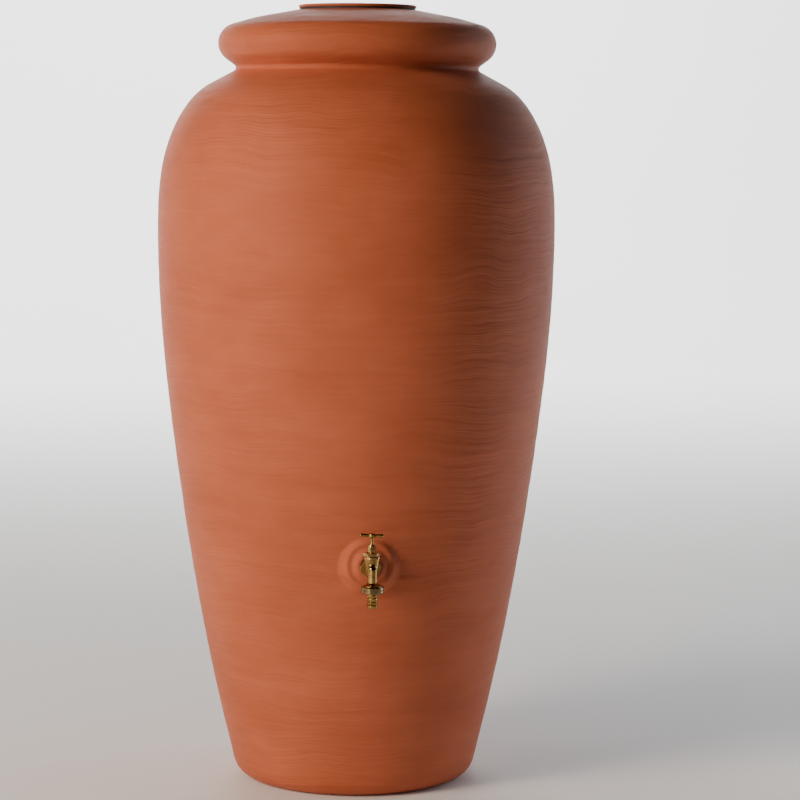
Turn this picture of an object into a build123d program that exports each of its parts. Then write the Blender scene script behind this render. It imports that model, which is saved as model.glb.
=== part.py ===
from build123d import *
import os
from math import cos, radians, sin

# Rain barrel in the shape of a tall jar, with a push-in lid and a brass bib tap.
# Millimetres, +Z up. The origin is the middle of the base, and the tap faces -Y.

os.makedirs("parts", exist_ok=True)

# ---------------------------------------------------------------- driving sizes
# Jar: corners and points are (radius, height) on the outside of the moulding.
WALL = 4.5
BASE_CORNER = (194.5, 0.0)
BASE_ROUND = 34.0
FLANK = [(211.6, 70.0), (260.0, 300.0), (298.8, 552.0), (321.0, 761.0), (326.3, 905.0), (318.9, 1011.0),
         (293.3, 1086.0), (241.0, 1144.0)]
NECK_CORNER = (194.3, 1169.3)
NECK_ROUND = 5.5
ROLL_CORNER = (266.5, 1222.9)
ROLL_ROUND = 32.0
CROWN_CORNER = (167.3, 1251.6)
CROWN_ROUND = 300.0
LAND_CORNER = (98.0, 1264.5)
LAND_ROUND = 4.0
MOUTH_RADIUS = 86.0
FLANK_STEPS = 8

# Boss on the flank that carries the tap. Forward distances run from the jar's axis towards the tap.
TAP_Z = 394.5
PAD_FRONT = 295.0
BOSS_FRONT = 287.5
BOSS_BACK = 262.0
BOSS_FOOT_RADIUS = 51.0
BOSS_FACE_RADIUS = 37.5
BOSS_BLEND = 4.5
BOSS_EDGE = 2.5
PAD_FOOT_RADIUS = 28.0
PAD_RADIUS = 21.0
PAD_EDGE = 2.0
HUB_RADIUS = 19.5
INSERT_BACK = 271.0
INSERT_RADIUS = 13.5
ANCHOR_RADIUS = 16.0
ANCHOR = (276.0, 281.0)

# Lid
RIM_RADIUS = 96.0
RIM_THICKNESS = 4.6
RIM_EDGE = 1.6
GASKET_THICKNESS = 3.2
GASKET_RADIUS = 94.5
SKIRT_RADIUS = 85.0
SKIRT_DEPTH = 24.0
LID_WALL = 3.0
POCKET_RADIUS = 52.0
POCKET_DEPTH = 16.0
POCKET_ROUND = 8.0
GRIP_WIDTH = 24.0

# Tap. Heights are measured from the middle of its inlet, and threads are plain cylinders.
FIT = 0.08
INLET_THREAD_RADIUS = 10.2
INLET_BACK = 273.0
INLET_BORE = 6.0
WASHER_THICKNESS = 2.5
LOCKNUT_FLATS = 30.0
LOCKNUT_THICKNESS = 8.0
HEX_CHAMFER = 1.6
NECK_RADIUS = 8.5
SPINDLE_REACH = 26.5
SPOUT_REACH = 37.5
CHAMBER_BOTTOM = -13.5
CONE_RADIUS = 8.2
BAND_RADIUS = 13.2
BAND_BOTTOM = 16.0
CASTING_BLEND = 2.0
PASSAGE_START = (296.0, 0.0)
PASSAGE_END = (321.5, -8.0)
PASSAGE_RADIUS = 3.5
SEAT_Z = 1.5
SEAT_BORE = 4.2
SEAT_RADIUS = 6.3
CHAMBER_BORE = 8.2
CHAMBER_TOP = 20.5
BONNET_THREAD_RADIUS = 9.3
BONNET_FLATS = 23.5
BONNET_BOTTOM = 11.3
BONNET_SEAT = 21.3
BONNET_TOP = 26.0
PACKING_BOTTOM = 32.0
PACKING_TOP = 35.4
SPINDLE_BOTTOM = 6.5
SPINDLE_THREAD_RADIUS = 4.0
THREAD_TOP = 19.8
VALVE_LIFT = 5.0
STEM_RADIUS = 2.6
NECK_THREAD_RADIUS = 3.9
GLAND_FLATS = 10.0
GLAND_BOTTOM = 27.0
GLAND_TOP = 39.0
GLAND_TAPER = 5.0
HEAD_Z = 53.0
HEAD_RADIUS = 5.4
HEAD_HEIGHT = 7.0
BAR_LENGTH = 37.5
BAR_RADIUS = 2.3
BAR_END_RADIUS = 3.0
BAR_TURN = -15.0
JUMPER_STEM_RADIUS = 2.0
JUMPER_TOP = 13.0
STUD_RADIUS = 1.45
STUD_DROP = 2.4
WASHER_HEIGHT = 2.5
DISC_HEIGHT = 2.0
JUMPER_NUT_FLATS = 5.5
JUMPER_NUT_HEIGHT = 2.2
SPOUT_RADIUS = 7.0
SPOUT_BORE = 4.0
SPOUT_WAY_START = 60.0
ELBOW_Z = 1.0
WAY_BEND = 8.0
CONE_TOP = -19.5
CONE_FOOT = -23.4
OUTLET_THREAD_RADIUS = 13.2
OUTLET_BOTTOM = -28.8
NUT_TOP = -24.3
NUT_BOTTOM = -35.1
NUT_RADIUS = 18.0
NUT_LIP_TOP = -32.8
KNURLS = 60
KNURL_DEPTH = 0.35
TAIL_TOP = -30.6
TAIL_BORE = 5.2
TAIL_ROOT = 7.25
TAIL_CREST = 8.5
BARB_PITCH = 5.6
BARBS = 4
BARB_LAND = 1.2
TAIL_BOTTOM = -59.5

# ------------------------------------------------------- derived places and planes
LAND_Z = LAND_CORNER[1]
RIM_BOTTOM = LAND_Z + GASKET_THICKNESS
RIM_TOP = RIM_BOTTOM + RIM_THICKNESS
SPINDLE_FORWARD = PAD_FRONT + SPINDLE_REACH
SPOUT_FORWARD = PAD_FRONT + SPOUT_REACH
NUT_BACK = PAD_FRONT + WASHER_THICKNESS
NUT_FRONT = NUT_BACK + LOCKNUT_THICKNESS

INLET_AXIS = Axis((0, 0, TAP_Z), (0, -1, 0))
SPINDLE_AXIS = Axis((0, -SPINDLE_FORWARD, TAP_Z), (0, 0, 1))
SPOUT_AXIS = Axis((0, -SPOUT_FORWARD, TAP_Z), (0, 0, 1))

# The tap's middle plane holds (forward, height) points. The two upright planes hold (radius, height).
MIDDLE = Plane(origin=(0, 0, TAP_Z), x_dir=(0, -1, 0), z_dir=(-1, 0, 0))
SPINDLE_PLANE = Plane(origin=(0, -SPINDLE_FORWARD, TAP_Z), x_dir=(1, 0, 0), z_dir=(0, -1, 0))
SPOUT_PLANE = Plane(origin=(0, -SPOUT_FORWARD, TAP_Z), x_dir=(1, 0, 0), z_dir=(0, -1, 0))

# The bar lies across the head, turned a little from the jar's left and right.
BAR_LINE = Vector(cos(radians(BAR_TURN)), sin(radians(BAR_TURN)), 0)
HEAD_CENTRE = Vector(0, -SPINDLE_FORWARD, TAP_Z + HEAD_Z)
BAR_AXIS = Axis(HEAD_CENTRE, BAR_LINE)
BAR_CROSS = Plane(origin=HEAD_CENTRE, x_dir=(0, 0, 1), z_dir=BAR_LINE)
BAR_PLANE = Plane(origin=HEAD_CENTRE, x_dir=(0, 0, 1), z_dir=BAR_LINE.cross(Vector(0, 0, 1)))


def facing(forward):
    """A sketch plane square to the inlet, facing away from the jar."""
    return Plane(origin=(0, -forward, TAP_Z), x_dir=(1, 0, 0), z_dir=(0, -1, 0))


def level(plane, height):
    """A flat sketch plane centred on an upright axis of the tap, at a height above its inlet."""
    return Plane(origin=plane.origin + Vector(0, 0, height), x_dir=(1, 0, 0), z_dir=(0, 0, 1))


def section(plane, points):
    """A closed straight-sided outline, ready to revolve."""
    with BuildSketch(plane) as outline:
        with BuildLine():
            Polyline(*points, close=True)
        make_face()
    return outline.sketch


def ring(inner, outer, low, high):
    """The section of a washer or tube as (radius, height) points."""
    return [(inner, low), (outer, low), (outer, high), (inner, high)]


def sleeve(inner, outer, back, front):
    """The section of a washer or tube round the inlet as (forward, radius) points."""
    return [(back, inner), (front, inner), (front, outer), (back, outer)]


def save(builder, name):
    builder.part.label = name
    export_step(builder.part, f"parts/{name}.step")


# -------------------------------------------------------------------------- jar
with BuildSketch(Plane.XZ) as jar_section:
    with BuildLine():
        foot = FilletPolyline((0, 0), BASE_CORNER, FLANK[0], radius=BASE_ROUND)
        Spline(*FLANK, tangents=[foot % 1, Vector(*NECK_CORNER) - Vector(*FLANK[-1])])
        FilletPolyline(FLANK[-1], NECK_CORNER, ROLL_CORNER, CROWN_CORNER, LAND_CORNER, (0, LAND_Z),
                       radius=[NECK_ROUND, ROLL_ROUND, CROWN_ROUND, LAND_ROUND])
        Line((0, LAND_Z), (0, 0))
    make_face()

# The inner skin is the whole section moved in by the wall on both sides of the axis, then halved.
with BuildSketch(Plane.XZ) as inner_skin:
    add(jar_section.sketch_local)
    mirror(about=Plane.YZ)
    offset(amount=-WALL, kind=Kind.INTERSECTION)
    split(bisect_by=Plane.YZ, keep=Keep.TOP)

# The hollow is the inner skin, its flank redrawn as a plain spline, with the mouth cut through above it.
with BuildSketch(Plane.XZ) as hollow_section:
    with BuildLine():
        for edge in inner_skin.sketch_local.edges():
            if edge.geom_type == GeomType.OFFSET:
                Spline(*[edge @ (i / FLANK_STEPS) for i in range(FLANK_STEPS + 1)],
                       tangents=[edge % 0, edge % 1])
            else:
                add(edge)
    make_face()
    with Locations((MOUTH_RADIUS / 2, LAND_Z)):
        Rectangle(MOUTH_RADIUS, 4 * WALL)

with BuildPart() as barrel_shell:
    revolve(jar_section.sketch, axis=Axis.Z)
    revolve(section(MIDDLE, [(BOSS_BACK, 0), (BOSS_FRONT, 0), (BOSS_FRONT, BOSS_FACE_RADIUS),
                             (BOSS_BACK, BOSS_FOOT_RADIUS)]), axis=INLET_AXIS)
    boss_foot = barrel_shell.edges(Select.NEW).filter_by(GeomType.BSPLINE)
    fillet(boss_foot, BOSS_BLEND)
    boss_rim = barrel_shell.edges().filter_by(GeomType.CIRCLE).sort_by(Axis.Y)[0]
    fillet(boss_rim, BOSS_EDGE)
    revolve(section(MIDDLE, [(BOSS_BACK, 0), (PAD_FRONT, 0), (PAD_FRONT, PAD_RADIUS),
                             (BOSS_FRONT, PAD_FOOT_RADIUS), (BOSS_BACK, PAD_FOOT_RADIUS)]), axis=INLET_AXIS)
    pad_rim = barrel_shell.edges().filter_by(GeomType.CIRCLE).sort_by(Axis.Y)[0]
    fillet(pad_rim, PAD_EDGE)
    revolve(hollow_section.sketch, axis=Axis.Z, mode=Mode.SUBTRACT)
    pocket = [(BOSS_BACK - 2 * WALL, HUB_RADIUS), (BOSS_FRONT - WALL, HUB_RADIUS),
              (BOSS_FRONT - WALL, BOSS_FACE_RADIUS - WALL), (BOSS_BACK - 2 * WALL, BOSS_FOOT_RADIUS - WALL)]
    revolve(section(MIDDLE, pocket), axis=INLET_AXIS, mode=Mode.SUBTRACT)
    revolve(section(MIDDLE, sleeve(0, HUB_RADIUS, INSERT_BACK, BOSS_FRONT - WALL)), axis=INLET_AXIS)
    revolve(section(MIDDLE, sleeve(0, INSERT_RADIUS, 0, PAD_FRONT)), axis=INLET_AXIS, mode=Mode.SUBTRACT)
    revolve(section(MIDDLE, sleeve(0, ANCHOR_RADIUS, *ANCHOR)), axis=INLET_AXIS, mode=Mode.SUBTRACT)
save(barrel_shell, "barrel_shell")

with BuildPart() as tap_insert:
    revolve(section(MIDDLE, sleeve(INLET_THREAD_RADIUS + FIT, INSERT_RADIUS, INSERT_BACK, PAD_FRONT)),
            axis=INLET_AXIS)
    revolve(section(MIDDLE, sleeve(INSERT_RADIUS, ANCHOR_RADIUS, *ANCHOR)), axis=INLET_AXIS)
save(tap_insert, "tap_insert")

# -------------------------------------------------------------------------- lid
# The lid drops into the mouth. Two D-shaped pockets leave a bar between them to lift it by.
with BuildSketch() as pocket_sketch:
    Circle(POCKET_RADIUS)
    Rectangle(GRIP_WIDTH, 2 * POCKET_RADIUS, mode=Mode.SUBTRACT)
    fillet(pocket_sketch.vertices(), POCKET_ROUND)

with BuildPart() as lid:
    with BuildSketch(Plane.XY.offset(RIM_BOTTOM)):
        Circle(RIM_RADIUS)
    extrude(amount=RIM_THICKNESS)
    rim_edges = lid.edges().filter_by(GeomType.CIRCLE)
    fillet(rim_edges, RIM_EDGE)
    with BuildSketch(Plane.XY.offset(RIM_BOTTOM)):
        Circle(SKIRT_RADIUS)
        Circle(SKIRT_RADIUS - LID_WALL, mode=Mode.SUBTRACT)
    extrude(amount=-SKIRT_DEPTH)
    with BuildSketch(Plane.XY.offset(RIM_TOP)):
        offset(pocket_sketch.sketch_local, amount=LID_WALL)
    extrude(amount=-POCKET_DEPTH - LID_WALL)
    with BuildSketch(Plane.XY.offset(RIM_TOP)):
        add(pocket_sketch.sketch_local)
    extrude(amount=-POCKET_DEPTH, mode=Mode.SUBTRACT)
    pocket_floor = lid.faces().filter_by(Axis.Z).filter_by_position(Axis.Z, RIM_TOP - POCKET_DEPTH - 0.1,
                                                                   RIM_TOP - POCKET_DEPTH + 0.1)
    fillet(pocket_floor.edges(), LID_WALL)
    pocket_rim = lid.faces().sort_by(Axis.Z)[-1].inner_wires()
    fillet(pocket_rim.edges(), 1.0)
save(lid, "lid")

with BuildPart() as lid_gasket:
    revolve(section(Plane.XZ, ring(SKIRT_RADIUS + FIT, GASKET_RADIUS, LAND_Z, RIM_BOTTOM)), axis=Axis.Z)
save(lid_gasket, "lid_gasket")

# -------------------------------------------------------------------- tap inlet
with BuildPart() as inlet_washer:
    revolve(section(MIDDLE, sleeve(INLET_THREAD_RADIUS + FIT, LOCKNUT_FLATS / 2 + 1.0, PAD_FRONT, NUT_BACK)),
            axis=INLET_AXIS)
save(inlet_washer, "inlet_washer")

with BuildPart() as inlet_locknut:
    with BuildSketch(facing(NUT_BACK)):
        RegularPolygon(LOCKNUT_FLATS / 2, 6, major_radius=False, rotation=0)
    extrude(amount=LOCKNUT_THICKNESS)
    corner = LOCKNUT_FLATS / 2 / cos(radians(30))
    revolve(section(MIDDLE, [(NUT_BACK, 0), (NUT_FRONT, 0), (NUT_FRONT, corner - HEX_CHAMFER),
                             (NUT_FRONT - HEX_CHAMFER / 2, corner), (NUT_BACK, corner)]),
            axis=INLET_AXIS, mode=Mode.INTERSECT)
    revolve(section(MIDDLE, sleeve(0, INLET_THREAD_RADIUS + FIT, NUT_BACK, NUT_FRONT)),
            axis=INLET_AXIS, mode=Mode.SUBTRACT)
save(inlet_locknut, "inlet_locknut")

# --------------------------------------------------------------------- tap body
# Water comes in below the seat, rises through it past the valve and leaves by the spout in front.
with BuildPart() as tap_body:
    inlet = [(INLET_BACK, 0), (SPINDLE_FORWARD, 0), (SPINDLE_FORWARD, NECK_RADIUS),
             (NUT_FRONT + 1.0, NECK_RADIUS), (NUT_FRONT + 1.0, INLET_THREAD_RADIUS),
             (INLET_BACK + 1.0, INLET_THREAD_RADIUS), (INLET_BACK, INLET_THREAD_RADIUS - 1.0)]
    revolve(section(MIDDLE, inlet), axis=INLET_AXIS)
    with BuildSketch(SPINDLE_PLANE):
        with BuildLine():
            FilletPolyline((0, CHAMBER_BOTTOM), (CONE_RADIUS, CHAMBER_BOTTOM),
                           (BAND_RADIUS - 0.6, BAND_BOTTOM), (BAND_RADIUS, BAND_BOTTOM + 0.6),
                           (BAND_RADIUS, CHAMBER_TOP), (0, CHAMBER_TOP),
                           radius=[6.0, 0.5, 0.5, 0.8])
            Line((0, CHAMBER_TOP), (0, CHAMBER_BOTTOM))
        make_face()
    revolve(axis=SPINDLE_AXIS)

    # Spout: forward out of the chamber, round a tight domed elbow and down to the outlet.
    with BuildSketch(facing(SPINDLE_FORWARD)):
        with Locations((0, ELBOW_Z)):
            Circle(SPOUT_RADIUS)
    extrude(amount=SPOUT_REACH - SPINDLE_REACH)
    with BuildSketch(SPOUT_PLANE):
        with BuildLine():
            CenterArc((0, ELBOW_Z), SPOUT_RADIUS, 0, 90)
            Polyline((SPOUT_RADIUS, ELBOW_Z), (SPOUT_RADIUS, CONE_TOP), (OUTLET_THREAD_RADIUS, CONE_FOOT),
                     (OUTLET_THREAD_RADIUS, OUTLET_BOTTOM), (0, OUTLET_BOTTOM), (0, ELBOW_Z + SPOUT_RADIUS))
        make_face()
    revolve(axis=SPOUT_AXIS)
    fillet(tap_body.edges().filter_by(GeomType.BSPLINE), CASTING_BLEND)

    # Waterways
    revolve(section(MIDDLE, sleeve(0, INLET_BORE, INLET_BACK, PASSAGE_START[0] + 7.0)),
            axis=INLET_AXIS, mode=Mode.SUBTRACT)
    with BuildLine(MIDDLE) as passage:
        Line(PASSAGE_START, PASSAGE_END)
    with BuildSketch(Plane(passage.line @ 0, z_dir=passage.line % 0)):
        Circle(PASSAGE_RADIUS)
    sweep(path=passage.line, mode=Mode.SUBTRACT)
    chamber = [(0, PASSAGE_END[1]), (SEAT_BORE, PASSAGE_END[1]), (SEAT_BORE, SEAT_Z), (SEAT_RADIUS, SEAT_Z),
               (SEAT_RADIUS, SEAT_Z - 1.5), (CHAMBER_BORE, SEAT_Z - 1.5), (CHAMBER_BORE, BONNET_BOTTOM - 0.3),
               (BONNET_THREAD_RADIUS + FIT, BONNET_BOTTOM - 0.3), (BONNET_THREAD_RADIUS + FIT, CHAMBER_TOP),
               (0, CHAMBER_TOP)]
    revolve(section(SPINDLE_PLANE, chamber), axis=SPINDLE_AXIS, mode=Mode.SUBTRACT)
    with BuildLine(MIDDLE) as spout_way:
        CenterArc((SPOUT_FORWARD - WAY_BEND, ELBOW_Z - WAY_BEND), WAY_BEND, SPOUT_WAY_START, -SPOUT_WAY_START)
        Line((SPOUT_FORWARD, ELBOW_Z - WAY_BEND), (SPOUT_FORWARD, OUTLET_BOTTOM))
    with BuildSketch(Plane(spout_way.line @ 0, z_dir=spout_way.line % 0)):
        Circle(SPOUT_BORE)
    sweep(path=spout_way.line, mode=Mode.SUBTRACT)
save(tap_body, "tap_body")

# ------------------------------------------------------------- bonnet and gland
with BuildPart() as bonnet_gasket:
    gasket = ring(BONNET_THREAD_RADIUS + FIT, BONNET_FLATS / 2, CHAMBER_TOP, BONNET_SEAT)
    revolve(section(SPINDLE_PLANE, gasket), axis=SPINDLE_AXIS)
save(bonnet_gasket, "bonnet_gasket")

with BuildPart() as bonnet:
    with BuildSketch(level(SPINDLE_PLANE, BONNET_SEAT)):
        RegularPolygon(BONNET_FLATS / 2, 6, major_radius=False)
    extrude(amount=BONNET_TOP - BONNET_SEAT)
    corner = BONNET_FLATS / 2 / cos(radians(30))
    chamfered = [(0, BONNET_SEAT), (corner, BONNET_SEAT), (corner, BONNET_TOP - HEX_CHAMFER / 2),
                 (corner - HEX_CHAMFER, BONNET_TOP), (0, BONNET_TOP)]
    revolve(section(SPINDLE_PLANE, chamfered), axis=SPINDLE_AXIS, mode=Mode.INTERSECT)
    thread = ring(0, BONNET_THREAD_RADIUS, BONNET_BOTTOM, BONNET_SEAT)
    revolve(section(SPINDLE_PLANE, thread), axis=SPINDLE_AXIS)
    neck = ring(0, NECK_THREAD_RADIUS, BONNET_TOP, PACKING_BOTTOM)
    revolve(section(SPINDLE_PLANE, neck), axis=SPINDLE_AXIS)
    bore = [(0, BONNET_BOTTOM), (SPINDLE_THREAD_RADIUS + FIT, BONNET_BOTTOM),
            (SPINDLE_THREAD_RADIUS + FIT, THREAD_TOP + VALVE_LIFT + 0.2),
            (STEM_RADIUS + FIT, THREAD_TOP + VALVE_LIFT + 0.2), (STEM_RADIUS + FIT, PACKING_BOTTOM),
            (0, PACKING_BOTTOM)]
    revolve(section(SPINDLE_PLANE, bore), axis=SPINDLE_AXIS, mode=Mode.SUBTRACT)
save(bonnet, "bonnet")

with BuildPart() as gland_packing:
    revolve(section(SPINDLE_PLANE, ring(STEM_RADIUS + FIT, NECK_THREAD_RADIUS, PACKING_BOTTOM, PACKING_TOP)),
            axis=SPINDLE_AXIS)
save(gland_packing, "gland_packing")

with BuildPart() as gland_nut:
    with BuildSketch(level(SPINDLE_PLANE, GLAND_BOTTOM)):
        RegularPolygon(GLAND_FLATS / 2, 6, major_radius=False)
    extrude(amount=GLAND_TOP - GLAND_BOTTOM)
    corner = GLAND_FLATS / 2 / cos(radians(30))
    tapered = [(0, GLAND_BOTTOM), (corner, GLAND_BOTTOM), (corner, GLAND_TOP - GLAND_TAPER),
               (corner - 1.0, GLAND_TOP), (0, GLAND_TOP)]
    revolve(section(SPINDLE_PLANE, tapered), axis=SPINDLE_AXIS, mode=Mode.INTERSECT)
    bore = [(0, GLAND_BOTTOM), (NECK_THREAD_RADIUS + FIT, GLAND_BOTTOM),
            (NECK_THREAD_RADIUS + FIT, PACKING_TOP), (STEM_RADIUS + FIT, PACKING_TOP),
            (STEM_RADIUS + FIT, GLAND_TOP), (0, GLAND_TOP)]
    revolve(section(SPINDLE_PLANE, bore), axis=SPINDLE_AXIS, mode=Mode.SUBTRACT)
save(gland_nut, "gland_nut")

# ------------------------------------------------------------ spindle and handle
with BuildPart() as spindle:
    with BuildSketch(SPINDLE_PLANE):
        with BuildLine():
            FilletPolyline((0, SPINDLE_BOTTOM), (SPINDLE_THREAD_RADIUS, SPINDLE_BOTTOM),
                           (SPINDLE_THREAD_RADIUS, THREAD_TOP), (STEM_RADIUS, THREAD_TOP),
                           (STEM_RADIUS, HEAD_Z - HEAD_HEIGHT / 2), (HEAD_RADIUS, HEAD_Z - HEAD_HEIGHT / 2),
                           (HEAD_RADIUS, HEAD_Z + HEAD_HEIGHT / 2), (0, HEAD_Z + HEAD_HEIGHT / 2),
                           radius=[0.5, 0.5, 0.2, 0.8, 2.4, 2.4])
            Line((0, HEAD_Z + HEAD_HEIGHT / 2), (0, SPINDLE_BOTTOM))
        make_face()
    revolve(axis=SPINDLE_AXIS)
    revolve(section(SPINDLE_PLANE, ring(0, JUMPER_STEM_RADIUS + FIT, SPINDLE_BOTTOM, JUMPER_TOP + 1.0)),
            axis=SPINDLE_AXIS, mode=Mode.SUBTRACT)
    with BuildSketch(BAR_CROSS):
        Circle(BAR_RADIUS)
    extrude(amount=HEAD_RADIUS, both=True, mode=Mode.SUBTRACT)
save(spindle, "spindle")

with BuildPart() as tee_bar:
    half = BAR_LENGTH / 2
    with BuildSketch(BAR_PLANE):
        with BuildLine():
            FilletPolyline((0, -half), (BAR_END_RADIUS, -half), (BAR_RADIUS, -HEAD_RADIUS),
                           (BAR_RADIUS, HEAD_RADIUS), (BAR_END_RADIUS, half),
                           (0, half), radius=[1.8, 10.0, 10.0, 1.8])
            Line((0, half), (0, -half))
        make_face()
    revolve(axis=BAR_AXIS)
save(tee_bar, "tee_bar")

# ------------------------------------------------------------------------ valve
disc_top = SEAT_Z + WASHER_HEIGHT + DISC_HEIGHT
with BuildPart() as jumper:
    outline = [(0, SEAT_Z - STUD_DROP), (STUD_RADIUS, SEAT_Z - STUD_DROP),
               (STUD_RADIUS, SEAT_Z + WASHER_HEIGHT), (SEAT_RADIUS, SEAT_Z + WASHER_HEIGHT),
               (SEAT_RADIUS, disc_top), (JUMPER_STEM_RADIUS, disc_top),
               (JUMPER_STEM_RADIUS, JUMPER_TOP), (0, JUMPER_TOP)]
    revolve(section(SPINDLE_PLANE, outline), axis=SPINDLE_AXIS)
save(jumper, "jumper")

with BuildPart() as jumper_washer:
    revolve(section(SPINDLE_PLANE, ring(STUD_RADIUS + FIT, SEAT_RADIUS, SEAT_Z, SEAT_Z + WASHER_HEIGHT)),
            axis=SPINDLE_AXIS)
save(jumper_washer, "jumper_washer")

with BuildPart() as jumper_nut:
    with BuildSketch(level(SPINDLE_PLANE, SEAT_Z)):
        RegularPolygon(JUMPER_NUT_FLATS / 2, 6, major_radius=False)
        Circle(STUD_RADIUS + FIT, mode=Mode.SUBTRACT)
    extrude(amount=-JUMPER_NUT_HEIGHT)
save(jumper_nut, "jumper_nut")

# ------------------------------------------------------------------ hose outlet
with BuildPart() as tail_washer:
    revolve(section(SPOUT_PLANE, ring(TAIL_BORE + 1.0, OUTLET_THREAD_RADIUS - 0.4, TAIL_TOP, OUTLET_BOTTOM)),
            axis=SPOUT_AXIS)
save(tail_washer, "tail_washer")

with BuildPart() as union_nut:
    chamfer_depth = 1.5
    knurled = [(0, NUT_BOTTOM), (NUT_RADIUS - chamfer_depth, NUT_BOTTOM),
               (NUT_RADIUS, NUT_BOTTOM + chamfer_depth), (NUT_RADIUS, NUT_TOP - chamfer_depth),
               (NUT_RADIUS - chamfer_depth, NUT_TOP), (0, NUT_TOP)]
    revolve(section(SPOUT_PLANE, knurled), axis=SPOUT_AXIS)
    with BuildSketch(level(SPOUT_PLANE, NUT_BOTTOM + 2.2)):
        with PolarLocations(NUT_RADIUS + KNURL_DEPTH, KNURLS):
            RegularPolygon(2.2 * KNURL_DEPTH, 3, rotation=180)
    extrude(amount=NUT_TOP - NUT_BOTTOM - 4.4, mode=Mode.SUBTRACT)
    bore = [(0, NUT_BOTTOM), (TAIL_CREST + 0.5, NUT_BOTTOM), (TAIL_CREST + 0.5, NUT_LIP_TOP),
            (OUTLET_THREAD_RADIUS + FIT, NUT_LIP_TOP), (OUTLET_THREAD_RADIUS + FIT, NUT_TOP), (0, NUT_TOP)]
    revolve(section(SPOUT_PLANE, bore), axis=SPOUT_AXIS, mode=Mode.SUBTRACT)
save(union_nut, "union_nut")

with BuildPart() as hose_tail:
    barbs_top = TAIL_BOTTOM + BARBS * BARB_PITCH
    revolve(section(SPOUT_PLANE, ring(0, OUTLET_THREAD_RADIUS - 0.4, NUT_LIP_TOP, TAIL_TOP)), axis=SPOUT_AXIS)
    revolve(section(SPOUT_PLANE, ring(0, TAIL_CREST, NUT_BOTTOM - 0.5, NUT_LIP_TOP)), axis=SPOUT_AXIS)
    revolve(section(SPOUT_PLANE, ring(0, TAIL_ROOT, TAIL_BOTTOM, NUT_BOTTOM - 0.5)), axis=SPOUT_AXIS)
    for index in range(BARBS):
        low = TAIL_BOTTOM + index * BARB_PITCH
        barb = [(0, low), (TAIL_ROOT, low), (TAIL_CREST, low + BARB_PITCH - BARB_LAND - 0.6),
                (TAIL_CREST, low + BARB_PITCH - 0.6), (TAIL_ROOT, low + BARB_PITCH), (0, low + BARB_PITCH)]
        revolve(section(SPOUT_PLANE, barb), axis=SPOUT_AXIS)
    bore = ring(0, TAIL_BORE, TAIL_BOTTOM, TAIL_TOP)
    revolve(section(SPOUT_PLANE, bore), axis=SPOUT_AXIS, mode=Mode.SUBTRACT)
save(hose_tail, "hose_tail")
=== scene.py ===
import math

import bmesh
import bpy
import numpy as np
from mathutils import Matrix, Vector, noise


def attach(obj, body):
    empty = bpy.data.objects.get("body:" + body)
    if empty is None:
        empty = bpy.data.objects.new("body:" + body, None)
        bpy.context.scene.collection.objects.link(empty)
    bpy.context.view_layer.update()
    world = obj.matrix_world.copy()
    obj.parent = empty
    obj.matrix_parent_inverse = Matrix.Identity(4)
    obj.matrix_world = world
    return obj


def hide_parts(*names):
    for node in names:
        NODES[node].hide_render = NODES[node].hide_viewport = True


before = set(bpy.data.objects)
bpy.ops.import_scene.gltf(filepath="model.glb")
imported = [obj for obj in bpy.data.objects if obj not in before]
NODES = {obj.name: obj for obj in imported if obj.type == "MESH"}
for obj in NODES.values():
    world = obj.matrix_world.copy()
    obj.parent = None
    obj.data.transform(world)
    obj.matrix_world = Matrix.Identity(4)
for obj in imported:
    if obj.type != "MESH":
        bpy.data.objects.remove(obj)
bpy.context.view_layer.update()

# Rain barrel: a terracotta-coloured moulded jar with a brass bib tap. Metres, +Z up, the tap faces -Y.
MM = 0.001


# ---------------------------------------------------------------------- camera
# The camera stands in front of the jar, a little to one side of the tap, and looks slightly down.
CAMERA_DISTANCE = 4.4496
CAMERA_HEIGHT = 1.0865
CAMERA_SIDE = math.radians(-4.7)
CAMERA_PAN = math.radians(0.946)
CAMERA_PITCH = math.radians(-5.92)
CAMERA_ROLL = math.radians(0.39)
SENSOR = 36.0
LENS = 121.46


def add_camera():
    """A long lens with its aim given as pan, pitch and roll."""
    forward = Vector((math.sin(CAMERA_PAN) * math.cos(CAMERA_PITCH),
                      math.cos(CAMERA_PAN) * math.cos(CAMERA_PITCH),
                      math.sin(CAMERA_PITCH)))
    level_right = Vector((math.cos(CAMERA_PAN), -math.sin(CAMERA_PAN), 0))
    level_up = level_right.cross(forward)
    right = level_right * math.cos(CAMERA_ROLL) + level_up * math.sin(CAMERA_ROLL)
    up = level_up * math.cos(CAMERA_ROLL) - level_right * math.sin(CAMERA_ROLL)
    turn = Matrix.Rotation(CAMERA_SIDE, 3, "Z")
    camera = bpy.data.objects.new("camera", bpy.data.cameras.new("camera"))
    bpy.context.scene.collection.objects.link(camera)
    camera.data.sensor_width = SENSOR
    camera.data.lens = LENS
    camera.location = turn @ Vector((0, -CAMERA_DISTANCE, CAMERA_HEIGHT))
    camera.rotation_euler = (turn @ Matrix((right, up, -forward)).transposed()).to_euler()
    bpy.context.scene.camera = camera


# --------------------------------------------------------------- mesh helpers
def add_mesh(name, vertices, faces):
    """A smooth-shaded mesh object in the scene."""
    mesh = bpy.data.meshes.new(name)
    mesh.from_pydata([tuple(v) for v in vertices], [], faces)
    mesh.validate()
    mesh.shade_smooth()
    piece = bpy.data.objects.new(name, mesh)
    bpy.context.scene.collection.objects.link(piece)
    return piece


def soft_max(a, b, width):
    """The larger of two values, rounded off where they cross, over about that width."""
    near = np.maximum(width - np.abs(a - b), 0) / width
    return np.maximum(a, b) + near * near * width / 4


def soft_min(a, b, width):
    """The smaller of two values, rounded off in the same way."""
    return -soft_max(-a, -b, width)


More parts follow.
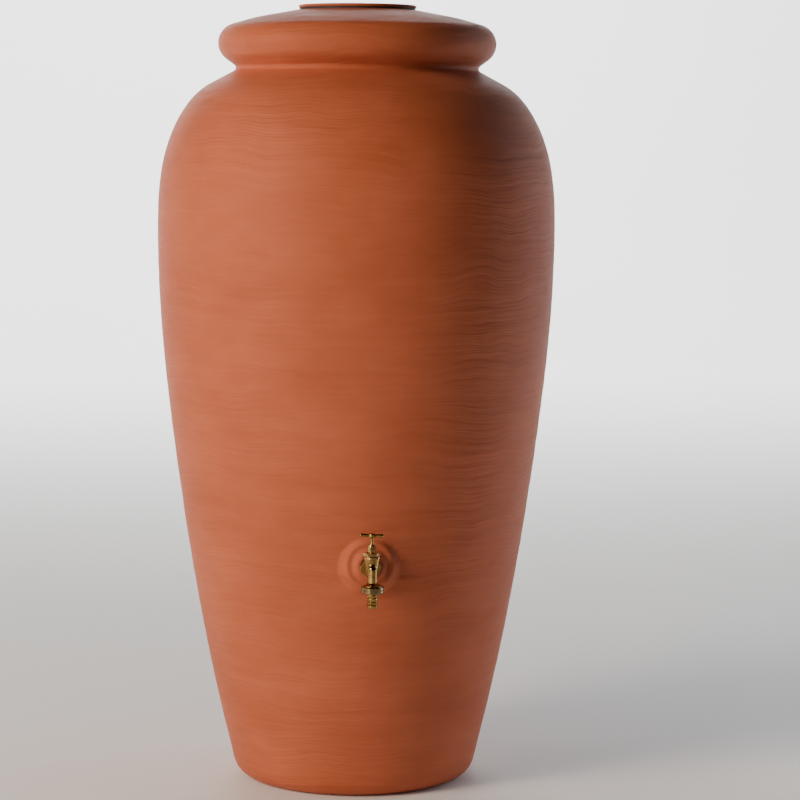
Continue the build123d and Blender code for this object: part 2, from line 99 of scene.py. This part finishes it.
# ------------------------------------------------------------ the jar's outline
# Corners and points are (radius, height) in millimetres on the outside of the moulding.
WALL = 4.5
BASE_CORNER = (194.5, 0.0)
BASE_ROUND = 34.0
FLANK = [(211.6, 70.0), (260.0, 300.0), (298.8, 552.0), (321.0, 761.0), (326.3, 905.0), (318.9, 1011.0),
         (293.3, 1086.0), (241.0, 1144.0)]
NECK_CORNER = (194.3, 1169.3)
NECK_ROUND = 5.5
ROLL_CORNER = (266.5, 1222.9)
ROLL_ROUND = 32.0
CROWN_CORNER = (167.3, 1251.6)
CROWN_ROUND = 300.0
LAND_CORNER = (98.0, 1264.5)
LAND_ROUND = 4.0
MOUTH_RADIUS = 86.0
CORNER_STEPS = 40
FLANK_STEPS = 60


def spline(points, start, end, per_segment):
    """A smooth curve through the points that leaves and arrives along the two directions."""
    p = np.array(points, float)
    h = np.hypot(*np.diff(p, axis=0).T)
    count = len(p)
    matrix = np.eye(count)
    slopes = np.zeros((count, 2))
    slopes[0] = np.array(start) / np.hypot(*start)
    slopes[-1] = np.array(end) / np.hypot(*end)
    for i in range(1, count - 1):
        matrix[i, i - 1:i + 2] = [h[i], 2 * (h[i - 1] + h[i]), h[i - 1]]
        slopes[i] = 3 * (h[i] * (p[i] - p[i - 1]) / h[i - 1] + h[i - 1] * (p[i + 1] - p[i]) / h[i])
    slopes = np.linalg.solve(matrix, slopes)
    curve = []
    for i in range(count - 1):
        for t in np.linspace(0, 1, per_segment, endpoint=False):
            curve.append((2 * t**3 - 3 * t**2 + 1) * p[i] + (t**3 - 2 * t**2 + t) * h[i] * slopes[i]
                         + (3 * t**2 - 2 * t**3) * p[i + 1] + (t**3 - t**2) * h[i] * slopes[i + 1])
    return curve + [p[-1]]


def rounded(points, radii, steps):
    """A line through the points with its corners rounded."""
    p = [np.array(point, float) for point in points]
    line = [p[0]]
    for before, corner, after, radius in zip(p, p[1:], p[2:], radii):
        back = (before - corner) / np.hypot(*(before - corner))
        ahead = (after - corner) / np.hypot(*(after - corner))
        half = math.acos(np.clip(back @ ahead, -1, 1)) / 2
        middle = (back + ahead) / np.hypot(*(back + ahead))
        centre = corner + middle * radius / math.sin(half)
        first = corner + back * radius / math.tan(half) - centre
        last = corner + ahead * radius / math.tan(half) - centre
        sweep = math.atan2(first[0] * last[1] - first[1] * last[0], first @ last)
        for t in np.linspace(0, sweep, steps):
            turn = np.array([[math.cos(t), -math.sin(t)], [math.sin(t), math.cos(t)]])
            line.append(centre + turn @ first)
    return line + [p[-1]]


def resample(line, spacing):
    """Points along a line, about the given spacing apart, which may depend on the place."""
    p = np.array(line)
    along = np.r_[0, np.cumsum(np.hypot(*np.diff(p, axis=0).T))]
    places = [0.0]
    while places[-1] < along[-1]:
        here = [np.interp(places[-1], along, p[:, k]) for k in (0, 1)]
        places.append(places[-1] + spacing(*here))
    places = np.array(places) * along[-1] / places[-1]
    return np.c_[np.interp(places, along, p[:, 0]), np.interp(places, along, p[:, 1])]


def jar_outline():
    """The outside of the jar from near the middle of its base to the edge of its mouth."""
    first, last = np.array(FLANK[0]), np.array(FLANK[-1])
    base = rounded([(0, 0), BASE_CORNER, FLANK[0]], [BASE_ROUND], CORNER_STEPS)
    flank = spline(FLANK, first - np.array(BASE_CORNER), np.array(NECK_CORNER) - last, FLANK_STEPS)
    mouth_edge = (MOUTH_RADIUS, LAND_CORNER[1])
    top = rounded([FLANK[-1], NECK_CORNER, ROLL_CORNER, CROWN_CORNER, LAND_CORNER, mouth_edge],
                  [NECK_ROUND, ROLL_ROUND, CROWN_ROUND, LAND_ROUND], CORNER_STEPS)
    return np.array(base + flank[1:] + top[1:])


def inner_outline(outside):
    """The inside of the jar: the outside moved in by the wall, then dropped straight at the mouth's edge."""
    along = np.gradient(outside, axis=0)
    along /= np.hypot(*along.T)[:, None]
    inside = outside + WALL * np.c_[-along[:, 1], along[:, 0]]
    keep = [0]
    for i in range(1, len(inside)):
        if (inside[i] - inside[keep[-1]]) @ along[i] > 0:
            keep.append(i)
    inside = inside[keep]
    inside = inside[inside[:, 0] >= np.where(inside[:, 1] > CROWN_CORNER[1], MOUTH_RADIUS, 0)]
    inside[0, 0] = 0
    return np.vstack([inside, (MOUTH_RADIUS, LAND_CORNER[1] - WALL)])


# --------------------------------------------------------------- the boss's form
# Forward distances run from the jar's axis towards the tap, and rho is the distance from the inlet's axis.
TAP_Z = 394.5
BOSS_FRONT = 287.5
BOSS_FACE = 37.5
BOSS_SLOPE = 1.889
BOSS_EDGE = 5.0
BOSS_BLEND = 10.0
PAD_FRONT = 295.0
PAD_FACE = 21.0
PAD_SLOPE = 1.07
PAD_EDGE = 2.5
POCKET_SLOPE = 2.5
HUB_RADIUS = 19.5
HUB_SLOPE = 8.0
INSERT_BACK = 271.0
INSERT_RADIUS = 13.5
ANCHOR_RADIUS = 16.0
ANCHOR = (276.0, 281.0)
FINE_HALF_WIDTH = 56.0


def boss_outside(forward, rho):
    """The flank with the boss and the tap's pad standing out of it."""
    face = soft_min(np.full_like(rho, BOSS_FRONT), BOSS_FRONT - BOSS_SLOPE * (rho - BOSS_FACE), BOSS_EDGE)
    pad = soft_min(np.full_like(rho, PAD_FRONT), PAD_FRONT - PAD_SLOPE * (rho - PAD_FACE), PAD_EDGE)
    return soft_max(soft_max(forward, face, BOSS_BLEND), pad, PAD_EDGE)


def boss_inside(forward, rho):
    """The inside of the wall, hollowed into the boss round the thick hub that holds the insert."""
    floor = BOSS_FRONT - WALL
    pocket = np.minimum(floor, floor - POCKET_SLOPE * (rho - BOSS_FACE + WALL))
    hub = np.maximum(INSERT_BACK, INSERT_BACK + HUB_SLOPE * (rho - HUB_RADIUS))
    return np.where(rho < BOSS_FACE, np.minimum(soft_max(forward, pocket, WALL), hub),
                    soft_max(forward, pocket, WALL))


# ------------------------------------------------------------------ the jar's mesh
ROW_FINE = 1.1
ROW_TOP = 2.6
ROW_COARSE = 8.0
ROW_BASE = 18.0
ROW_GROWTH = 0.25
TOP_DROP = 30.0
FLAT_BASE_HEIGHT = 1.0
COLUMN_FINE = math.radians(0.22)
COLUMN_COARSE = math.radians(2.4)
COLUMN_GROWTH = 0.16
FINE_ANGLE = math.radians(11.5)

# The relief fades out near the inlet, the foot and the mouth. Each pair is (where it starts, over how far).
RELIEF = 0.6
RELIEF_ACROSS = 6.0
RELIEF_UP = 52.0
RELIEF_OCTAVES = (0.8, 2.0, 3)
RELIEF_MIDDLE = 0.5
RELIEF_SWING = 0.6
INLET_FADE = (30, 20)
FOOT_FADE = (12, 40)
MOUTH_FADE = (4, 20)


def row_spacing(radius, height):
    """Rows are closest at the boss, close over the collar and widest under the flat base."""
    near_boss = ROW_FINE + ROW_GROWTH * max(abs(height - TAP_Z) - FINE_HALF_WIDTH, 0)
    if height < FLAT_BASE_HEIGHT and radius < BASE_CORNER[0] - BASE_ROUND:
        return ROW_BASE
    if height > NECK_CORNER[1] - TOP_DROP:
        return ROW_TOP
    return min(near_boss, ROW_COARSE)


def column_angles():
    """Angles round the jar from the tap's side, close together near the boss."""
    angles = [0.0]
    while angles[-1] < math.pi:
        step = COLUMN_FINE + COLUMN_GROWTH * max(angles[-1] - FINE_ANGLE, 0)
        angles.append(angles[-1] + min(step, COLUMN_COARSE))
    half = np.array(angles) * math.pi / angles[-1]
    return np.r_[-half[:0:-1], half[:-1]]


def skin(outline, angles, form):
    """Points of one skin of the jar in millimetres, as rows by columns, with the boss's form applied."""
    radius, height = outline[:, :1], outline[:, 1:]
    across = radius * np.sin(angles)
    forward = radius * np.cos(angles)
    height = height + 0 * across
    rho = np.hypot(across, height - TAP_Z)
    near = (forward > 0) & (rho < 2 * BOSS_FACE)
    forward = np.where(near, form(forward, rho), forward)
    return np.stack([across, -forward, height], axis=-1), rho


def relieve(points, rho):
    """Presses shallow hand-worked waves into the outside, never raising it."""
    height = points[..., 2]
    fade = np.clip((rho - INLET_FADE[0]) / INLET_FADE[1], 0, 1)
    fade = fade * np.clip((height - FOOT_FADE[0]) / FOOT_FADE[1], 0, 1)
    fade *= np.clip((LAND_CORNER[1] - MOUTH_FADE[0] - height) / MOUTH_FADE[1], 0, 1)
    for row, weights in zip(points, fade):
        for place, weight in zip(row, weights):
            x, y, z = place * MM
            here = Vector((x * RELIEF_ACROSS, y * RELIEF_ACROSS, z * RELIEF_UP))
            wave = noise.fractal(here, *RELIEF_OCTAVES)
            depth = RELIEF * weight * min(max(RELIEF_MIDDLE + RELIEF_SWING * wave, 0.0), 1.0)
            place[:2] *= 1 - depth / max(math.hypot(place[0], place[1]), 1.0)


def grid_faces(rows, columns, first, inward):
    """Quads of a closed band of rows, and a fan on the single middle point that comes before it."""
    faces = []
    for j in range(columns):
        k = (j + 1) % columns
        fan = (first - 1, first + j, first + k)
        faces.append(fan if inward else fan[::-1])
        for i in range(rows - 1):
            low, high = first + i * columns, first + (i + 1) * columns
            quad = (low + j, low + k, high + k, high + j)
            faces.append(quad[::-1] if inward else quad)
    return faces


def jar_piece():
    """The whole jar as one closed mesh: outer skin, inner skin and the edge of the mouth between them."""
    angles = column_angles()
    outside = resample(jar_outline(), row_spacing)
    inside = resample(inner_outline(jar_outline()), row_spacing)
    outer, rho = skin(outside[1:], angles, boss_outside)
    relieve(outer, rho)
    inner, _ = skin(inside[1:], angles, boss_inside)
    columns = len(angles)
    vertices = np.vstack([[(0, 0, 0)], outer.reshape(-1, 3), [(0, 0, WALL)], inner.reshape(-1, 3)])
    inner_first = 2 + outer.shape[0] * columns
    faces = grid_faces(len(outer), columns, 1, False) + grid_faces(len(inner), columns, inner_first, True)
    top = 1 + (len(outer) - 1) * columns
    under = inner_first + (len(inner) - 1) * columns
    for j in range(columns):
        k = (j + 1) % columns
        faces.append((top + j, top + k, under + k, under + j))
    return add_mesh("jar", vertices * MM, faces)


CUT_PAST_BACK = 12
CUT_PAST_FRONT = 6
CUTTER_STEPS = 96
SHARP_ANGLE = math.radians(38)


def inlet_cutter():
    """The hole for the tap's insert: a cylinder along the inlet with the anchor's wider groove."""
    back, front = INSERT_BACK - CUT_PAST_BACK, PAD_FRONT + CUT_PAST_FRONT
    profile = [(back, 0), (back, INSERT_RADIUS), (ANCHOR[0], INSERT_RADIUS),
               (ANCHOR[0], ANCHOR_RADIUS), (ANCHOR[1], ANCHOR_RADIUS), (ANCHOR[1], INSERT_RADIUS),
               (front, INSERT_RADIUS), (front, 0)]
    steps = CUTTER_STEPS
    vertices = [Vector((0, -profile[0][0], TAP_Z)), Vector((0, -profile[-1][0], TAP_Z))]
    for forward, radius in profile[1:-1]:
        for turn in np.linspace(0, 2 * math.pi, steps, endpoint=False):
            vertices.append(Vector((radius * math.cos(turn), -forward, TAP_Z + radius * math.sin(turn))))
    faces = []
    last = 2 + (len(profile) - 3) * steps
    for j in range(steps):
        k = (j + 1) % steps
        faces += [(0, 2 + j, 2 + k), (1, last + k, last + j)]
        for band in range(len(profile) - 3):
            low = 2 + band * steps
            faces.append((low + k, low + j, low + steps + j, low + steps + k))
    return add_mesh("inlet_cutter", [v * MM for v in vertices], faces)


def cut(piece, cutter):
    """Cuts one piece with another and keeps only the result."""
    for thing in (piece, cutter):
        shape = bmesh.new()
        shape.from_mesh(thing.data)
        bmesh.ops.recalc_face_normals(shape, faces=shape.faces)
        shape.to_mesh(thing.data)
        shape.free()
    modifier = piece.modifiers.new("cut", "BOOLEAN")
    modifier.object = cutter
    modifier.operation = "DIFFERENCE"
    modifier.solver = "EXACT"
    seen = piece.evaluated_get(bpy.context.evaluated_depsgraph_get())
    mesh = bpy.data.meshes.new_from_object(seen)
    piece.modifiers.clear()
    piece.data = mesh
    bpy.data.objects.remove(cutter)
    mesh.shade_smooth()
    mesh.set_sharp_from_angle(angle=SHARP_ANGLE)


# -------------------------------------------------------------------- materials
def new_material(name):
    """A node material with its nodes, links and shader."""
    material = bpy.data.materials.new(name)
    material.use_nodes = True
    nodes = material.node_tree.nodes
    return material, nodes, material.node_tree.links, nodes["Principled BSDF"]


def stretched_noise(nodes, links, place, scale, detail, roughness=0.55):
    """Noise with its own scale along each axis."""
    mapping = nodes.new("ShaderNodeMapping")
    mapping.inputs["Scale"].default_value = scale
    links.new(place, mapping.inputs["Vector"])
    texture = nodes.new("ShaderNodeTexNoise")
    texture.inputs["Scale"].default_value = 1.0
    texture.inputs["Detail"].default_value = detail
    texture.inputs["Roughness"].default_value = roughness
    links.new(mapping.outputs["Vector"], texture.inputs["Vector"])
    return texture


def ramp(nodes, links, value, low, high, span=(0.3, 0.7)):
    """Turns a value into a blend of two colours."""
    node = nodes.new("ShaderNodeValToRGB")
    for element, place, colour in zip(node.color_ramp.elements, span, (low, high)):
        element.position = place
        element.color = (*colour, 1)
    links.new(value, node.inputs["Fac"])
    return node.outputs["Color"]


def spread(nodes, links, value, low, high, span=(0.3, 0.7)):
    """Stretches the middle of a noise over a range of values."""
    node = nodes.new("ShaderNodeMapRange")
    node.inputs["From Min"].default_value, node.inputs["From Max"].default_value = span
    node.inputs["To Min"].default_value, node.inputs["To Max"].default_value = low, high
    links.new(value, node.inputs["Value"])
    return node.outputs["Result"]


def mixed(nodes, links, kind, factor, a, b):
    """Two colours blended in the given way."""
    node = nodes.new("ShaderNodeMix")
    node.data_type = "RGBA"
    node.blend_type = kind
    node.inputs["Factor"].default_value = factor
    links.new(a, node.inputs["A"])
    links.new(b, node.inputs["B"])
    return node.outputs["Result"]


def bumped(nodes, links, shader, layers):
    """Stacks bump layers of (height, distance, strength)."""
    normal = None
    for height, distance, strength in layers:
        node = nodes.new("ShaderNodeBump")
        node.inputs["Distance"].default_value = distance
        node.inputs["Strength"].default_value = strength
        links.new(height, node.inputs["Height"])
        if normal:
            links.new(normal, node.inputs["Normal"])
        normal = node.outputs["Normal"]
    links.new(normal, shader.inputs["Normal"])


def object_place(nodes):
    """Coordinates fixed to the object, in metres."""
    return nodes.new("ShaderNodeTexCoord").outputs["Object"]


CLAY_DARK = (0.46, 0.118, 0.054)
CLAY_LIGHT = (0.55, 0.150, 0.074)
# Painted shade: the grooves of the longer brush marks are coloured up to this much darker, where shade would
# fall.
PAINTED_GROOVE_SHADE = (0.90, 0.89, 0.88)
NO_SHADE = (1.0, 1.0, 1.0)
STROKE_WANDER = 0.06


def terracotta_material():
    """Matte moulded plastic with fine level brush marks, a few longer scrapes and soft mottling; the grooves
    of the longer marks are darkened with painted shade.
    """
    material, nodes, links, shader = new_material("terracotta_plastic")
    place = object_place(nodes)
    wander = stretched_noise(nodes, links, place, scale=(5, 5, 5), detail=2)
    offset = nodes.new("ShaderNodeVectorMath")
    offset.operation = "MULTIPLY_ADD"
    offset.inputs[1].default_value = (STROKE_WANDER,) * 3
    links.new(wander.outputs["Color"], offset.inputs[0])
    links.new(place, offset.inputs[2])
    wavy = offset.outputs["Vector"]
    fine = stretched_noise(nodes, links, wavy, scale=(11, 11, 430), detail=4, roughness=0.6)
    strokes = stretched_noise(nodes, links, wavy, scale=(3.2, 3.2, 75), detail=3)
    blotches = stretched_noise(nodes, links, place, scale=(6, 6, 10), detail=3)
    speckle = stretched_noise(nodes, links, place, scale=(900, 900, 900), detail=2)
    mottled = ramp(nodes, links, blotches.outputs["Fac"], CLAY_DARK, CLAY_LIGHT)
    # Painted shade in the grooves: the low parts of the stroke bump are multiplied darker in the colour.
    painted_groove_shade = ramp(nodes, links, strokes.outputs["Fac"], PAINTED_GROOVE_SHADE, NO_SHADE)
    colour = mixed(nodes, links, "MULTIPLY", 0.75, mottled, painted_groove_shade)
    links.new(colour, shader.inputs["Base Color"])
    links.new(spread(nodes, links, fine.outputs["Fac"], low=0.46, high=0.60), shader.inputs["Roughness"])
    bumped(nodes, links, shader, [(strokes.outputs["Fac"], 0.0055, 0.55),
                                  (fine.outputs["Fac"], 0.0014, 0.65),
                                  (speckle.outputs["Fac"], 0.00008, 0.30)])
    shader.inputs["Specular IOR Level"].default_value = 0.11
    shader.inputs["Sheen Weight"].default_value = 0.015
    shader.inputs["Sheen Roughness"].default_value = 0.45
    return material


def brass_material(name, light, dark, roughness):
    """Polished cast brass with faint casting waves, handling smudges and a little tarnish."""
    material, nodes, links, shader = new_material(name)
    place = object_place(nodes)
    tarnish = stretched_noise(nodes, links, place, scale=(130, 130, 130), detail=4)
    smudge = stretched_noise(nodes, links, place, scale=(260, 260, 420), detail=3)
    waves = stretched_noise(nodes, links, place, scale=(190, 190, 190), detail=2)
    grain = stretched_noise(nodes, links, place, scale=(2600, 2600, 2600), detail=2)
    colour = ramp(nodes, links, tarnish.outputs["Fac"], dark, light, span=(0.32, 0.58))
    links.new(colour, shader.inputs["Base Color"])
    links.new(spread(nodes, links, smudge.outputs["Fac"], *roughness), shader.inputs["Roughness"])
    bumped(nodes, links, shader, [(waves.outputs["Fac"], 0.0004, 0.10),
                                  (grain.outputs["Fac"], 0.00003, 0.20)])
    shader.inputs["Metallic"].default_value = 1.0
    return material


def soft_material(name, dark, light, roughness, grain_scale):
    """Rubber, fibre or packing: dull, with a fine even grain."""
    material, nodes, links, shader = new_material(name)
    place = object_place(nodes)
    grain = stretched_noise(nodes, links, place, scale=(grain_scale,) * 3, detail=3)
    cloud = stretched_noise(nodes, links, place, scale=(60, 60, 60), detail=2)
    links.new(ramp(nodes, links, cloud.outputs["Fac"], dark, light), shader.inputs["Base Color"])
    links.new(spread(nodes, links, grain.outputs["Fac"], *roughness), shader.inputs["Roughness"])
    bumped(nodes, links, shader, [(grain.outputs["Fac"], 0.0001, 0.35)])
    return material


def dress(names, material):
    """Puts a material on CAD nodes that keep their own meshes."""
    for name in names:
        for slot in NODES[name].material_slots:
            slot.material = material


# ------------------------------------------------------------------------ stage
FLOOR_HALF_WIDTH = 30.0
FLOOR_FRONT = -30.0
FLOOR_BACK = 10.0
FLOOR_LIFT = 9.0
FLOOR_BEND = 3.0
BEND_STEPS = 24
FLOOR_DARK = (0.86, 0.86, 0.86)
FLOOR_LIGHT = (0.88, 0.88, 0.88)


def add_floor():
    """A pale sheet that runs level under the jar and curves up far behind it, outside the camera's orbit."""
    bend_start = FLOOR_BACK - FLOOR_BEND
    line = [(FLOOR_FRONT, 0.0), (bend_start, 0.0)]
    for turn in np.linspace(0, math.pi / 2, BEND_STEPS)[1:]:
        line.append((bend_start + FLOOR_BEND * math.sin(turn), FLOOR_BEND - FLOOR_BEND * math.cos(turn)))
    line.append((FLOOR_BACK, FLOOR_LIFT))
    vertices = [(side * FLOOR_HALF_WIDTH, y, z) for y, z in line for side in (-1, 1)]
    faces = [(2 * i, 2 * i + 1, 2 * i + 3, 2 * i + 2) for i in range(len(line) - 1)]
    floor = add_mesh("floor", vertices, faces)
    material, nodes, links, shader = new_material("pale_floor")
    cloud = stretched_noise(nodes, links, object_place(nodes), scale=(0.8, 0.8, 0.8), detail=2)
    colour = ramp(nodes, links, cloud.outputs["Fac"], FLOOR_DARK, FLOOR_LIGHT)
    links.new(colour, shader.inputs["Base Color"])
    shader.inputs["Roughness"].default_value = 0.75
    floor.data.materials.append(material)


def add_panel(name, place, aim, size, power, colour=(1.0, 1.0, 1.0)):
    """A soft rectangular light that looks at a point."""
    light = bpy.data.objects.new(name, bpy.data.lights.new(name, "AREA"))
    bpy.context.scene.collection.objects.link(light)
    light.data.shape = "RECTANGLE"
    light.data.size, light.data.size_y = size
    light.data.energy = power
    light.data.color = colour
    light.location = place
    light.rotation_euler = (Vector(aim) - Vector(place)).to_track_quat("-Z", "Y").to_euler()


# The world's strength rises from the first to the second value over this span of the direction's Y.
WORLD_SPAN = (-0.85, -0.35)
WORLD_STRENGTH = (0.05, 0.36)
WARM = (1.0, 0.80, 0.63)
COOL = (0.80, 0.91, 1.0)
JAR_MIDDLE = (0, 0, 0.65)
BELOW_TAP = (0, -0.34, 0.31)


def add_lights():
    """A world that is darker straight ahead of the tap, soft panels at the sides, and two low strips."""
    world = bpy.data.worlds.new("studio")
    bpy.context.scene.world = world
    world.use_nodes = True
    background = world.node_tree.nodes["Background"]
    nodes, links = world.node_tree.nodes, world.node_tree.links
    direction = nodes.new("ShaderNodeSeparateXYZ")
    links.new(nodes.new("ShaderNodeTexCoord").outputs["Generated"], direction.inputs["Vector"])
    sides = nodes.new("ShaderNodeMapRange")
    sides.interpolation_type = "SMOOTHSTEP"
    sides.inputs["From Min"].default_value, sides.inputs["From Max"].default_value = WORLD_SPAN
    sides.inputs["To Min"].default_value, sides.inputs["To Max"].default_value = WORLD_STRENGTH
    links.new(direction.outputs["Y"], sides.inputs["Value"])
    links.new(sides.outputs["Result"], background.inputs["Strength"])
    add_panel("key", place=(-3.4, -2.2, 2.2), aim=JAR_MIDDLE, size=(1.6, 2.4), power=195, colour=WARM)
    add_panel("left_strip", place=(-2.4, 0.6, 1.2), aim=JAR_MIDDLE, size=(0.6, 2.6), power=9)
    add_panel("right_strip", place=(2.3, 1.0, 1.1), aim=JAR_MIDDLE, size=(0.5, 2.4), power=20, colour=COOL)
    add_panel("backdrop_light", place=(0, 6.0, 6.0), aim=(0, 10.0, 2.0), size=(10.0, 2.0), power=1600)
    add_panel("left_streak", place=(-0.95, -1.55, 0.28), aim=BELOW_TAP, size=(0.16, 0.56), power=1.4)
    add_panel("right_streak", place=(1.15, -0.15, 0.28), aim=BELOW_TAP, size=(0.16, 0.56), power=1.4)


# --------------------------------------------------------------------- assembly
add_camera()
add_floor()
add_lights()

jar = jar_piece()
cut(jar, inlet_cutter())
terracotta = terracotta_material()
jar.data.materials.clear()
jar.data.materials.append(terracotta)
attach(jar, "barrel")
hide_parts("barrel_shell")
dress(["lid"], terracotta)

brass = brass_material("polished_brass", light=(0.40, 0.26, 0.085), dark=(0.20, 0.115, 0.03),
                       roughness=(0.05, 0.12))
dress(["tap_insert", "inlet_locknut", "tap_body", "bonnet", "gland_nut", "spindle", "tee_bar", "jumper",
       "jumper_nut", "hose_tail"], brass)
dress(["union_nut"],
      brass_material("knurled_brass", light=(0.30, 0.215, 0.105), dark=(0.13, 0.09, 0.04),
                     roughness=(0.18, 0.32)))
dress(["inlet_washer", "jumper_washer", "tail_washer", "lid_gasket"],
      soft_material("black_rubber", dark=(0.014, 0.014, 0.014), light=(0.032, 0.031, 0.030),
                    roughness=(0.55, 0.8), grain_scale=1500))
dress(["bonnet_gasket"],
      soft_material("red_fibre", dark=(0.20, 0.045, 0.028), light=(0.36, 0.09, 0.055),
                    roughness=(0.6, 0.85), grain_scale=2200))
dress(["gland_packing"],
      soft_material("packing", dark=(0.03, 0.03, 0.033), light=(0.07, 0.07, 0.075),
                    roughness=(0.4, 0.7), grain_scale=1800))
